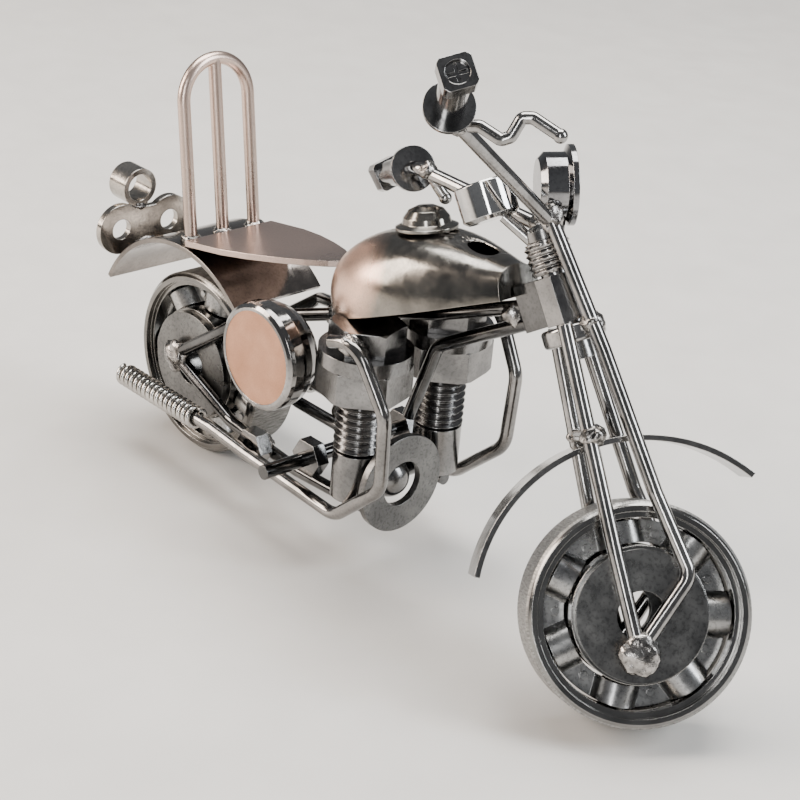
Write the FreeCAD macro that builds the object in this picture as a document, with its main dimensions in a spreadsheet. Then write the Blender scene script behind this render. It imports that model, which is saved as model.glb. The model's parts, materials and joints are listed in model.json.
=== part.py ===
import FreeCAD, Part
import math
import os

import Sketcher
from FreeCAD import Placement, Rotation, Vector

# Scrap-metal motorcycle: a desk model welded from ball bearings, bolts, nuts, washers,
# springs, bent wire and pressed sheet.  +X is forward, +Y is the rider's left, +Z is up.
# The origin is on the ground, straight under the axle of the rear wheel.

# ----------------------------------------------------------------- driving dimensions
SIZES = {
    # bearing wheels (40 x 17 x 12 mm deep-groove bearings, seven balls)
    "wheel_radius": 20.0, "wheel_half_width": 6.0, "wheel_chamfer": 0.9,
    "outer_shoulder_radius": 17.0, "seal_groove_radius": 18.1, "seal_groove_depth": 1.2,
    "inner_shoulder_radius": 12.2, "inner_bore_radius": 8.5,
    "ball_pitch_radius": 14.25, "ball_radius": 3.375, "race_clearance": 0.065,
    "cage_inner_radius": 12.6, "cage_outer_radius": 16.6, "cage_sheet": 0.8,
    "ball_pocket_clearance": 0.06, "rivet_radius": 0.75, "rivet_height": 2.4,
    "ball_count": 7.0, "first_ball_angle": 32.5,
    "hub_washer_radius": 11.7, "hub_washer_hole": 4.4, "hub_washer_thickness": 1.6,
    # bent wire
    "wire_radius": 1.35, "lever_radius": 1.1,
    # steering geometry
    "steer_base_x": 126.8, "steer_base_z": 21.67, "rake": 32.9, "steer_angle": 55.7, "wheel_trail": 4.5,
    "stem_radius": 2.6, "stem_bore_clearance": 0.06, "stem_head_radius": 3.2, "stem_bottom": 45.5,
    "stem_top": 67.5, "head_nut_across": 7.2, "head_nut_bottom": 52.4, "head_nut_height": 8.6,
    "lower_clamp_bottom": 48.6, "lower_clamp_top": 52.0, "lower_clamp_radius": 5.7,
    "upper_clamp_bottom": 61.5, "upper_clamp_radius": 4.2, "collar_pitch": 1.1, "collar_depth": 0.45,
    "collar_turns": 5.0,
    # engine
    "engine_x": 58.0, "cylinder_side": 10.7, "bolt_radius": 5.0, "thread_pitch": 1.5, "thread_depth": 0.85,
    "thread_turns": 8.0, "thread_bottom": 26.0, "base_bottom": 16.0, "base_radius": 4.9,
    "head_across": 16.4, "head_height": 6.6, "gasket_radius": 9.2, "gasket_thickness": 1.5,
    "top_nut_across": 13.0, "top_nut_height": 5.0,
    "crank_washer_radius": 10.2, "crank_hole_radius": 4.7, "crank_thickness": 1.5,
    "crank_x": 63.2, "crank_side": -4.4, "crank_z": 19.2, "crank_ball_radius": 4.2,
    # tank
    "tank_x": 44.0, "tank_z": 48.3, "tank_slope": 23.0, "tank_wall": 0.8,
    "cap_radius": 6.0, "cap_dome_radius": 4.7, "cap_height": 4.4,
    # seat, fenders, back rest
    "fender_radius": 28.5, "fender_sheet": 1.0, "rear_fender_width": 23.0,
    "rear_fender_start": 48.0, "rear_fender_end": 153.0,
    "front_fender_radius": 31.0, "front_fender_width": 9.0,
    "front_fender_start": 34.0, "front_fender_end": 151.0, "front_fender_shift": 1.5,
    "seat_length": 38.0, "seat_rear_width": 23.0, "seat_sheet": 1.2, "seat_slope": 9.8,
    "seat_x": 1.9, "seat_z": 48.9,
    "rest_half_width": 8.3, "rest_height": 37.5, "rest_lean": 8.5, "rest_base_z": 48.5,
    "plate_lobe_radius": 5.6, "plate_pitch": 12.7, "plate_hole_radius": 2.3, "plate_sheet": 1.5,
    "plate_x": -23.6, "plate_z": 44.3, "plate_side": -4.1, "lamp_radius": 4.2, "lamp_bore": 3.0,
    "lamp_length": 5.6, "lamp_side": -5.8,
    # air cleaner
    "cleaner_x": 38.9, "cleaner_z": 40.6, "cleaner_face_y": 22.0, "cleaner_radius": 10.9,
    "cleaner_depth": 12.0, "cleaner_face_radius": 9.4,
    # exhaust and foot pegs
    "exhaust_side": 15.9, "exhaust_z": 15.2, "rail_nut_side": 11.4, "spring_wire": 0.55, "spring_radius": 1.95,
    "spring_pitch": 1.55, "spring_turns": 17.0, "spring_front_x": 14.2,
    "peg_x": 46.3, "peg_z": 19.4, "peg_reach": 24.6, "peg_radius": 1.5, "peg_nut_across": 7.0,
    "peg_nut_width": 2.8,
    # handlebar, lamp and gauge
    "grip_inner": 2.6, "grip_length": 14.5, "grip_radius": 2.6, "flange_radius": 4.4, "flange_thickness": 1.0,
    "end_nut_across": 5.7, "end_nut_width": 3.4, "screw_radius": 2.0, "screw_reach": 0.9,
    "gauge_x": -7.8, "gauge_bottom": 73.6, "gauge_radius": 5.2, "gauge_height": 6.8, "gauge_wall": 0.7,
    "lamp_x": 4.6, "lamp_z": 76.2, "lamp_tilt": 16.0, "lamp_body_radius": 5.9, "lamp_rim_radius": 7.2,
    "lamp_depth": 6.4, "lamp_rim": 1.0, "lens_radius": 5.4,
}

doc = FreeCAD.newDocument("Motorcycle")
sheet = doc.addObject("Spreadsheet::Sheet", "Sizes")


class Size:
    """A number together with the spreadsheet formula that it comes from."""

    def __init__(self, value, formula):
        self.value = value
        self.formula = formula

    def combine(self, other, sign, reverse=False):
        other = other if isinstance(other, Size) else Size(float(other), repr(float(other)))
        left, right = (other, self) if reverse else (self, other)
        results = {"+": lambda a, b: a + b, "-": lambda a, b: a - b, "*": lambda a, b: a * b,
                   "/": lambda a, b: a / b}
        return Size(results[sign](left.value, right.value), f"({left.formula} {sign} {right.formula})")

    def __add__(self, other):
        return self.combine(other, "+")

    def __radd__(self, other):
        return self.combine(other, "+", reverse=True)

    def __sub__(self, other):
        return self.combine(other, "-")

    def __rsub__(self, other):
        return self.combine(other, "-", reverse=True)

    def __mul__(self, other):
        return self.combine(other, "*")

    def __rmul__(self, other):
        return self.combine(other, "*", reverse=True)

    def __truediv__(self, other):
        return self.combine(other, "/")

    def __neg__(self):
        return self.combine(-1.0, "*")


class Sheet:
    """Gives every alias of the spreadsheet as a Size: sizes.wheel_radius."""

    def __getattr__(self, alias):
        return Size(SIZES[alias], "Sizes." + alias)


def fill_sheet():
    for row, (alias, value) in enumerate(SIZES.items(), start=1):
        sheet.set(f"A{row}", alias)
        sheet.set(f"B{row}", str(value))
        sheet.setAlias(f"B{row}", alias)
    doc.recompute()


fill_sheet()
sizes = Sheet()
nodes = {}
SIDES = {"right": -1.0, "left": 1.0}


# ------------------------------------------------------------------------- frames
def frame(x=0.0, y=0.0, z=0.0, axis=(0, 0, 1), angle=0.0):
    return Placement(Vector(x, y, z), Rotation(Vector(*axis), angle))


ROOT = frame()
TILT = frame(SIZES["steer_base_x"], 0, SIZES["steer_base_z"], (0, 1, 0), -SIZES["rake"])
FORK = TILT.multiply(frame(angle=SIZES["steer_angle"]))
WHEELS = {
    "rear": frame(z=SIZES["wheel_radius"]),
    "front": FORK.multiply(frame(x=-SIZES["wheel_trail"])),
}


# ------------------------------------------------------------------ building blocks
def bind(item, **properties):
    """Set each property, and tie it to the spreadsheet when it is a Size."""
    for name, size in properties.items():
        if isinstance(size, Size):
            setattr(item, name, size.value)
            item.setExpression(name, size.formula)
        else:
            setattr(item, name, size)
    return item


def along(axis, start, centre=(0.0, 0.0)):
    """Placement that lays a local Z axis along X, Y or Z, starting at the given coordinate."""
    a, b = centre
    value = start.value if isinstance(start, Size) else start
    if axis == "x":
        return Placement(Vector(value, a, b), Rotation(Vector(0, 1, 0), 90))
    if axis == "y":
        return Placement(Vector(a, value, b), Rotation(Vector(1, 0, 0), -90))
    return Placement(Vector(a, b, value), Rotation())


def cylinder(radius, height, place=ROOT, angle=360.0):
    item = bind(doc.addObject("Part::Cylinder", "Cylinder"), Radius=radius, Height=height, Angle=angle)
    item.Placement = place
    return item


def hexagon(across, height, place=ROOT):
    item = doc.addObject("Part::Prism", "Hexagon")
    item.Polygon = 6
    bind(item, Circumradius=across / math.sqrt(3.0), Height=height)
    item.Placement = place
    return item


def box(length, width, height, place=ROOT):
    item = bind(doc.addObject("Part::Box", "Box"), Length=length, Width=width, Height=height)
    item.Placement = place
    return item


def sphere(radius, place=ROOT):
    item = bind(doc.addObject("Part::Sphere", "Sphere"), Radius=radius)
    item.Placement = place
    return item


def fuse(*items):
    joined = doc.addObject("Part::MultiFuse", "Fuse")
    joined.Shapes = list(items)
    return joined


def cut(base, *tools):
    result = doc.addObject("Part::Cut", "Cut")
    result.Base = base
    result.Tool = tools[0] if len(tools) == 1 else fuse(*tools)
    return result


def common(*items):
    result = doc.addObject("Part::MultiCommon", "Common")
    result.Shapes = list(items)
    return result


def group(*items):
    """Separate solids kept side by side in one node."""
    result = doc.addObject("Part::Compound", "Group")
    result.Links = list(items)
    return result


def node(label, item, place=ROOT):
    """Name a finished sub-part and put it in its frame."""
    item.Label = label
    item.Placement = place.multiply(item.Placement)
    nodes[label] = item
    return item


def shaped(label, shape, place=ROOT):
    """A sub-part whose shape is made with Part's own functions."""
    item = doc.addObject("Part::Feature", label)
    item.Shape = shape
    return node(label, item, place)


def turned_body(label, outline):
    """A body turned about its own Z axis from an outline of (radius, height) points."""
    body = doc.addObject("PartDesign::Body", label)
    sketch = body.newObject("Sketcher::SketchObject", label + "_outline")
    plane = [item for item in body.Origin.OriginFeatures if item.Role == "XZ_Plane"][0]
    sketch.AttachmentSupport = [(plane, "")]
    sketch.MapMode = "FlatFace"
    close_outline(sketch, outline)
    turn = body.newObject("PartDesign::Revolution", label + "_turn")
    turn.Profile = sketch
    turn.ReferenceAxis = (sketch, ["V_Axis"])
    turn.Angle = 360.0
    body.Tip = turn
    return body


def turned(label, outline, place=ROOT):
    return node(label, turned_body(label, outline), place)


def plate(label, outline, thickness, place=ROOT):
    """A body padded up from an outline of (x, y) points."""
    body = doc.addObject("PartDesign::Body", label)
    sketch = body.newObject("Sketcher::SketchObject", label + "_outline")
    plane = [item for item in body.Origin.OriginFeatures if item.Role == "XY_Plane"][0]
    sketch.AttachmentSupport = [(plane, "")]
    sketch.MapMode = "FlatFace"
    close_outline(sketch, outline)
    pad = body.newObject("PartDesign::Pad", label + "_pad")
    pad.Profile = sketch
    bind(pad, Length=thickness)
    body.Tip = pad
    return node(label, body, place)


def close_outline(sketch, outline):
    """Straight lines through the points, each point held at its two sizes."""
    values = [tuple(c.value if isinstance(c, Size) else c for c in point) for point in outline]
    count = len(values)
    for index in range(count):
        start = Vector(*values[index], 0)
        end = Vector(*values[(index + 1) % count], 0)
        sketch.addGeometry(Part.LineSegment(start, end), False)
    for index in range(count):
        sketch.addConstraint(Sketcher.Constraint("Coincident", index, 2, (index + 1) % count, 1))
    for index, point in enumerate(outline):
        for kind, size, value in zip(("DistanceX", "DistanceY"), point, values[index]):
            number = sketch.addConstraint(Sketcher.Constraint(kind, -1, 1, index, 1, value))
            if isinstance(size, Size):
                sketch.setExpression(f"Constraints[{number}]", size.formula)


# ----------------------------------------------------------------------- bent wire
def wire_path(points, bend):
    """Straight runs through the points, joined by arcs of the given bend radius."""
    points = [Vector(*point) for point in points]
    edges = []
    last = points[0]
    for before, corner, after in zip(points, points[1:], points[2:]):
        arrive = (corner - before).normalize()
        leave = (after - corner).normalize()
        half_turn = arrive.getAngle(leave) / 2.0
        setback = bend * math.tan(half_turn)
        start = corner - arrive * setback
        end = corner + leave * setback
        inward = (leave - arrive).normalize()
        middle = corner + inward * (bend / math.cos(half_turn) - bend)
        edges.append(Part.LineSegment(last, start).toShape())
        edges.append(Part.Arc(start, middle, end).toShape())
        last = end
    edges.append(Part.LineSegment(last, points[-1]).toShape())
    return Part.Wire(edges)


def bent_wire(points, bend, radius=SIZES["wire_radius"], place=ROOT):
    """A round wire along a bent path."""
    path = wire_path(points, bend)
    first = Vector(*points[0])
    direction = Vector(*points[1]) - first
    circle = Part.Wire(Part.makeCircle(radius, first, direction))
    return path.makePipeShell([circle], True, False)


def straight_wire(start, end, radius=SIZES["wire_radius"]):
    start, end = Vector(*start), Vector(*end)
    return Part.makeCylinder(radius, (end - start).Length, start, end - start)


def coped(shape, *others):
    """The shape with its neighbours' material taken away, so that they meet face to face."""
    for other in others:
        shape = shape.cut(other)
    return max(shape.Solids, key=lambda solid: solid.Volume)


# ------------------------------------------------------------------ bearing wheels
def race_groove():
    torus = doc.addObject("Part::Torus", "Race")
    bind(torus, Radius1=sizes.ball_pitch_radius, Radius2=sizes.ball_radius + sizes.race_clearance)
    torus.Placement = along("y", 0.0)
    return torus


def chamfered_cylinder(radius, half_width, chamfer):
    """A cylinder about the Y axis with both rims bevelled."""
    straight = cylinder(radius, half_width * 2.0, along("y", -half_width))
    cone_height = radius + half_width - chamfer
    cones = []
    for angle in (-90, 90):
        cone = doc.addObject("Part::Cone", "Bevel")
        bind(cone, Radius1=radius + half_width - chamfer, Radius2=0.0, Height=cone_height)
        cone.Placement = Placement(Vector(), Rotation(Vector(1, 0, 0), angle))
        cones.append(cone)
    return common(straight, fuse(*cones))


def outer_ring(name):
    blank = chamfered_cylinder(sizes.wheel_radius, sizes.wheel_half_width, sizes.wheel_chamfer)
    bore = cylinder(sizes.outer_shoulder_radius, sizes.wheel_half_width * 2.0,
                    along("y", -sizes.wheel_half_width))
    grooves = [cylinder(sizes.seal_groove_radius, sizes.seal_groove_depth, along("y", start))
               for start in (-sizes.wheel_half_width, sizes.wheel_half_width - sizes.seal_groove_depth)]
    node(f"{name}_outer_ring", cut(blank, bore, race_groove(), *grooves), WHEELS[name])


def inner_ring(name):
    blank = cylinder(sizes.inner_shoulder_radius, sizes.wheel_half_width * 2.0,
                     along("y", -sizes.wheel_half_width))
    bore = cylinder(sizes.inner_bore_radius, sizes.wheel_half_width * 2.0,
                    along("y", -sizes.wheel_half_width))
    node(f"{name}_inner_ring", cut(blank, bore, race_groove()), WHEELS[name])


def around_pitch(step):
    """Centre of a ball (whole steps) or of a rivet (half steps) on the pitch circle."""
    angle = math.radians(SIZES["first_ball_angle"] + step * 360.0 / SIZES["ball_count"])
    radius = SIZES["ball_pitch_radius"]
    return radius * math.cos(angle), radius * math.sin(angle)


def balls(name):
    items = []
    for step in range(int(SIZES["ball_count"])):
        x, z = around_pitch(step)
        items.append(sphere(sizes.ball_radius, frame(x, 0, z)))
    node(f"{name}_balls", group(*items), WHEELS[name])


def radial_cylinder(radius, step):
    """A cylinder that points out from the axle through one ball, across the cage's band."""
    angle = SIZES["first_ball_angle"] + step * 360.0 / SIZES["ball_count"]
    start = SIZES["inner_bore_radius"]
    item = cylinder(radius, sizes.wheel_radius - start)
    outward = Placement(Vector(), Rotation(Vector(0, 1, 0), 90.0 - angle))
    item.Placement = outward.multiply(frame(z=start))
    return item


def cage(name):
    """Riveted ribbon cage: two flat ribbons that bulge round every ball."""
    pocket = sizes.ball_radius + sizes.ball_pocket_clearance
    reach = pocket + sizes.cage_sheet
    band = cut(cylinder(sizes.cage_outer_radius, reach * 2.0, along("y", -reach)),
               cylinder(sizes.cage_inner_radius, reach * 2.0, along("y", -reach)))
    ribbon = cylinder(sizes.cage_outer_radius, sizes.cage_sheet * 2.0, along("y", -sizes.cage_sheet))
    bulges, pockets = [], []
    for step in range(int(SIZES["ball_count"])):
        bulges.append(radial_cylinder(reach, step))
        pockets.append(radial_cylinder(pocket, step))
    rivet_holes = [cylinder(sizes.rivet_radius, sizes.rivet_height * 2.0,
                            along("y", -sizes.rivet_height, around_pitch(step + 0.5)))
                   for step in range(int(SIZES["ball_count"]))]
    body = common(band, fuse(ribbon, *bulges))
    node(f"{name}_cage", cut(body, *pockets, *rivet_holes), WHEELS[name])


def cage_rivets(name):
    half = sizes.rivet_height / 2.0
    items = [cylinder(sizes.rivet_radius, sizes.rivet_height, along("y", -half, around_pitch(step + 0.5)))
             for step in range(int(SIZES["ball_count"]))]
    node(f"{name}_cage_rivets", group(*items), WHEELS[name])


def hub_washers(name):
    """A penny washer on each face of the inner ring."""
    washers = []
    for start in (-sizes.wheel_half_width - sizes.hub_washer_thickness, sizes.wheel_half_width):
        disc = cylinder(sizes.hub_washer_radius, sizes.hub_washer_thickness, along("y", start))
        hole = cylinder(sizes.hub_washer_hole, sizes.hub_washer_thickness, along("y", start))
        washers.append(cut(disc, hole))
    node(f"{name}_hub_washers", group(*washers), WHEELS[name])


def bearing_wheel(name):
    outer_ring(name)
    inner_ring(name)
    balls(name)
    cage(name)
    cage_rivets(name)
    hub_washers(name)


# ---------------------------------------------------------------------------- engine
def threaded_outline(top, bottom, radius, pitch, depth, turns):
    """Outline of a coarse ribbed thread: one V groove per turn, worked from the bottom up."""
    outline = [(0.0, bottom), (radius - depth, bottom)]
    for turn in range(int(turns.value)):
        outline.append((radius, bottom + pitch * (turn + 0.5)))
        outline.append((radius - depth, bottom + pitch * (turn + 1.0)))
    outline.append((radius - depth, top))
    outline.append((0.0, top))
    return outline


def on_both_sides(make_one):
    """The same solid on the right and on the left engine cylinder's centre line."""
    solids = []
    for sign in SIDES.values():
        solid = make_one()
        solid.Placement = frame(SIZES["engine_x"], sign * SIZES["cylinder_side"]).multiply(solid.Placement)
        solids.append(solid)
    return group(*solids)


def lifted(item, height, angle=0.0):
    item.Placement = frame(z=height.value, angle=angle)
    return item


def upside_down(item, height, angle):
    item.Placement = Placement(Vector(0, 0, height.value), Rotation(Vector(1, 0, 0), 180)).multiply(frame(angle=angle))
    return item


def cylinder_stacks():
    """The two engine cylinders: smooth base, threaded barrel, bolt head, gaskets, top nut."""
    barrel_top = sizes.thread_bottom + sizes.thread_pitch * sizes.thread_turns + 0.3
    gasket_bottom = barrel_top + sizes.head_height
    nut_bottom = gasket_bottom + sizes.gasket_thickness * 2.0
    node("cylinder_bases", on_both_sides(
        lambda: lifted(cylinder(sizes.base_radius, sizes.thread_bottom - sizes.base_bottom), sizes.base_bottom)))
    thread = threaded_outline(barrel_top, sizes.thread_bottom, sizes.bolt_radius,
                              sizes.thread_pitch, sizes.thread_depth, sizes.thread_turns)
    node("cylinder_barrels", on_both_sides(lambda: turned_body("cylinder_barrel", thread)))
    node("cylinder_heads", on_both_sides(
        lambda: upside_down(rounded_hexagon(sizes.head_across, sizes.head_height),
                            barrel_top + sizes.head_height, 15.0)))
    node("gasket_washers", on_both_sides(
        lambda: lifted(cylinder(sizes.gasket_radius, sizes.gasket_thickness * 2.0), gasket_bottom)))
    node("cylinder_nuts", on_both_sides(
        lambda: lifted(rounded_hexagon(sizes.top_nut_across, sizes.top_nut_height), nut_bottom, 45.0)))


def rounded_hexagon(across, height):
    """A hexagon with its corners turned off, as on a real nut or bolt head."""
    prism = hexagon(across, height)
    dome = doc.addObject("Part::Cone", "CornerTurning")
    bind(dome, Radius1=across * 1.45, Radius2=across * 0.5, Height=across * 0.55)
    dome.Placement = frame(z=(height - across * 0.53).value)
    return common(prism, dome)


def crank():
    x, y, z = (SIZES[name] for name in ("crank_x", "crank_side", "crank_z"))
    disc = cylinder(sizes.crank_washer_radius, sizes.crank_thickness, along("x", 0.0))
    hole = cylinder(sizes.crank_hole_radius, sizes.crank_thickness, along("x", 0.0))
    node("crank_washer", cut(disc, hole), frame(x, y, z))
    shaft_half = SIZES["cylinder_side"] - SIZES["base_radius"]
    bar = Part.makeCylinder(3.0, shaft_half * 2.0, Vector(SIZES["engine_x"], -shaft_half, z), Vector(0, 1, 0))
    ball = Part.makeSphere(SIZES["crank_ball_radius"], Vector(x - 2.6, y, z))
    bases = [Part.makeCylinder(SIZES["base_radius"], 30.0, Vector(SIZES["engine_x"], sign * SIZES["cylinder_side"], 5))
             for sign in SIDES.values()]
    washer_zone = Part.makeCylinder(SIZES["crank_washer_radius"], SIZES["crank_thickness"],
                                    Vector(x, y, z), Vector(1, 0, 0))
    hole_zone = Part.makeCylinder(SIZES["crank_hole_radius"], SIZES["crank_thickness"],
                                  Vector(x, y, z), Vector(1, 0, 0))
    cross_bar = coped(bar, *bases)
    shaped("crank_cross_bar", cross_bar)
    shaped("crank_ball", coped(ball, cross_bar, washer_zone.cut(hole_zone), *bases))


# ----------------------------------------------------------------------------- frame
def solid_of(label):
    """The finished shape of a sub-part, in the model's frame."""
    if nodes[label].Shape.isNull():
        doc.recompute()
    return nodes[label].Shape


def frame_rails():
    """The welded wire frame between the rear axle, the engine and the steering head."""
    hub_side = SIZES["wheel_half_width"] + SIZES["hub_washer_thickness"] + SIZES["wire_radius"]
    top_rod = bent_wire([(36.0, 0, 44.6), (66.0, 0, 55.1), (87.6, 0, 64.6)], 20.0)
    neck = Part.makeBox(6.4, 3.6, 8.6, Vector(-9.7, -1.8, 52.6))
    neck.Placement = TILT.multiply(neck.Placement)
    down_tube = bent_wire([(90.2, 0, 62.6), (66.4, 0, 48.6), (60.4, 0, 31.2)], 5.0)
    seat_tube = bent_wire([(38.2, 0, 43.6), (46.6, 0, 25.0), (54.6, 0, 19.4)], 6.0)
    shaped("neck_gusset", coped(neck, solid_of("head_nut")))
    shaped("top_rod", coped(top_rod, neck))
    shaped("down_tube", coped(down_tube, neck, solid_of("top_rod"), solid_of("crank_cross_bar")))
    shaped("seat_tube", coped(seat_tube, solid_of("top_rod"), solid_of("crank_cross_bar")))
    lowers, uppers = [], []
    for sign in SIDES.values():
        upper = bent_wire([(-2.6, sign * hub_side, 22.2), (22.0, sign * hub_side, 40.1),
                           (38.5, sign * 2.4, 45.2)], 8.0)
        lower = bent_wire([(-2.6, sign * hub_side, 21.3), (16.5, sign * hub_side, 13.8),
                           (40.0, sign * 10.2, 12.9), (61.5, sign * 10.7, 14.4)], 7.0)
        lowers.append(lower)
        uppers.append(coped(upper, lower, solid_of("top_rod"), solid_of("seat_tube")))
    shaped("lower_rails", Part.makeCompound(lowers))
    shaped("upper_stays", Part.makeCompound(uppers))


def rail_nuts():
    """The nut that joins each lower rail to the exhaust beside it."""
    inner = SIZES["rail_nut_side"]
    width = SIZES["exhaust_side"] - SIZES["wire_radius"] - inner
    nuts = []
    for start in (-inner - width, inner):
        nut = cut(hexagon(7.0, width), cylinder(2.0, width))
        nut.Placement = along("y", start, (29.5, 14.6))
        nuts.append(nut)
    node("rail_nuts", group(*nuts))


def foot_pegs():
    """One straight bar through the frame, with a nut inside each foot."""
    bar = straight_wire((SIZES["peg_x"], -SIZES["peg_reach"], SIZES["peg_z"]),
                        (SIZES["peg_x"], SIZES["peg_reach"], SIZES["peg_z"]), SIZES["peg_radius"])
    shaped("foot_peg_bar", coped_ends(bar, solid_of("seat_tube")))
    nuts = []
    for start in (-11.0 - SIZES["peg_nut_width"], 11.0):
        nut = cut(hexagon(sizes.peg_nut_across, sizes.peg_nut_width),
                  cylinder(sizes.peg_radius, sizes.peg_nut_width))
        nut.Placement = along("y", start, (SIZES["peg_x"], SIZES["peg_z"]))
        nuts.append(nut)
    node("foot_peg_nuts", group(*nuts))


def coped_ends(shape, *others):
    """Like coped, but keeps every piece that is left."""
    for other in others:
        shape = shape.cut(other)
    return shape


# -------------------------------------------------------------------------- exhausts
# The right pipe's bends, from the engine to the ground side; the left pipe mirrors them.
EXHAUST_BEND = [(57.0, 18.9, 50.4), (63.6, 18.6, 52.6), (71.6, 17.4, 40.0), (71.4, 16.7, 24.5),
                (58.5, 16.1, 12.9), (30.0, 15.9, 14.2)]
EXHAUST_BEND_RADIUS = 6.0


def exhausts():
    outward = SIZES["exhaust_side"]
    height = SIZES["exhaust_z"]
    springs = []
    for side, sign in SIDES.items():
        bend = [(x, sign * y, z) for x, y, z in EXHAUST_BEND]
        tail_end = (SIZES["spring_front_x"] - SIZES["spring_pitch"] * SIZES["spring_turns"], sign * outward, height)
        before_spring = (SIZES["spring_front_x"] + 4.0, sign * outward, height)
        pipe = bent_wire(bend + [before_spring, tail_end], EXHAUST_BEND_RADIUS)
        stacks = [solid_of(name) for name in ("cylinder_bases", "cylinder_heads", "gasket_washers",
                                              "cylinder_nuts")]
        shaped(f"exhaust_pipe_{side}", coped(pipe, *stacks))
        springs.append(muffler_spring(Vector(SIZES["spring_front_x"], sign * outward, height)))
    node("muffler_springs", group(*springs))


def muffler_spring(front):
    """The close-wound spring that is pushed over the exhaust's tail as a silencer."""
    helix = bind(doc.addObject("Part::Helix", "Coil"), Pitch=sizes.spring_pitch,
                 Height=sizes.spring_pitch * sizes.spring_turns, Radius=sizes.spring_radius)
    circle = bind(doc.addObject("Part::Circle", "CoilWire"), Radius=sizes.spring_wire)
    circle.Placement = frame(x=SIZES["spring_radius"], axis=(1, 0, 0), angle=90)
    sweep = doc.addObject("Part::Sweep", "Spring")
    sweep.Sections = [circle]
    sweep.Spine = (helix, [])
    sweep.Solid = True
    sweep.Frenet = True
    sweep.Placement = Placement(front, Rotation(Vector(0, 1, 0), -90))
    return sweep


# ------------------------------------------------------------------------------ tank
def tank_section(x, half_width, height, shrink=0.0):
    """A flat-bottomed arch across the tank, at x along its slope."""
    half_width = half_width - shrink
    height = height - shrink
    arch = arch_curve(x, half_width, height, shrink)
    base = Part.LineSegment(Vector(x, half_width, shrink), Vector(x, -half_width, shrink)).toShape()
    return Part.Wire([arch, base])


def arch_curve(x, half_width, height, base):
    """Half a squashed circle, as one smooth curve through eleven points."""
    points = []
    for step in range(11):
        angle = math.pi * step / 10.0
        across = -half_width * math.copysign(abs(math.cos(angle)) ** 0.8, math.cos(angle))
        points.append(Vector(x, across, base + height * math.sin(angle) ** 0.75))
    curve = Part.BSplineCurve()
    curve.interpolate(points)
    return curve.toShape()


TANK_SECTIONS = [(0.0, 5.2, 6.2), (3.0, 9.4, 10.4), (9.0, 12.8, 13.6), (18.0, 13.8, 14.8),
                 (27.0, 12.4, 13.4), (35.0, 9.6, 10.6), (41.0, 7.0, 7.8), (45.5, 5.2, 5.8)]


def tank():
    """Teardrop shell, round at the back and narrow at the steering head."""
    place = frame(SIZES["tank_x"], 0, SIZES["tank_z"], (0, 1, 0), -SIZES["tank_slope"])
    outer = Part.makeLoft([tank_section(*section) for section in TANK_SECTIONS], True)
    wall = SIZES["tank_wall"]
    inner_sections = [tank_section(x, width, height, wall) for x, width, height in TANK_SECTIONS[1:-1]]
    inner = Part.makeLoft(inner_sections, True)
    shell = outer.cut(inner)
    shell.Placement = place
    neighbours = ("neck_gusset", "cylinder_nuts", "top_rod")
    shaped("tank_shell", coped(shell, *[solid_of(name) for name in neighbours]))
    top = place.multiply(Placement(Vector(24.0, 0, 14.1), Rotation(Vector(0, 1, 0), SIZES["tank_slope"] - 12.0)))
    brim, dome, rise = sizes.cap_radius, sizes.cap_dome_radius, sizes.cap_height
    turned("tank_cap", [(0.0, 0.0), (brim, 0.0), (brim, 0.5), (dome, 1.1), (dome * 0.94, rise * 0.5),
                        (dome * 0.72, rise * 0.8), (dome * 0.38, rise * 0.96), (0.0, rise)], top)


# --------------------------------------------------------- seat, fenders, back rest
def arc_strip(radius, sheet_thickness, width, start, end):
    """A curved strip of sheet about the Y axis; angles are measured up from straight ahead."""
    sweep = end - start
    outer = cylinder(radius, width, along("y", -width / 2.0), sweep)
    inner = cylinder(radius - sheet_thickness, width, along("y", -width / 2.0), sweep)
    strip = cut(outer, inner)
    strip.Placement = Placement(Vector(), Rotation(Vector(0, 1, 0), -end.value))
    return strip


def fenders():
    rear = arc_strip(sizes.fender_radius, sizes.fender_sheet, sizes.rear_fender_width,
                     sizes.rear_fender_start, sizes.rear_fender_end)
    node("rear_fender", rear, WHEELS["rear"])
    front = arc_strip(sizes.front_fender_radius, sizes.fender_sheet, sizes.front_fender_width,
                      sizes.front_fender_start, sizes.front_fender_end)
    node("front_fender", front, WHEELS["front"].multiply(frame(x=SIZES["front_fender_shift"])))


def seat():
    half = sizes.seat_rear_width / 2.0
    taper = [(0.0, 1.0), (0.3, 0.97), (0.48, 0.86), (0.66, 0.68), (0.82, 0.47), (0.94, 0.26), (1.0, 0.1)]
    right = [(sizes.seat_length * along_seat, -half * share) for along_seat, share in taper]
    left = [(sizes.seat_length * along_seat, half * share) for along_seat, share in reversed(taper)]
    outline = right + left
    place = frame(SIZES["seat_x"], 0, SIZES["seat_z"], (0, 1, 0), -SIZES["seat_slope"])
    plate("seat_plate", outline, sizes.seat_sheet, place)


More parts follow.
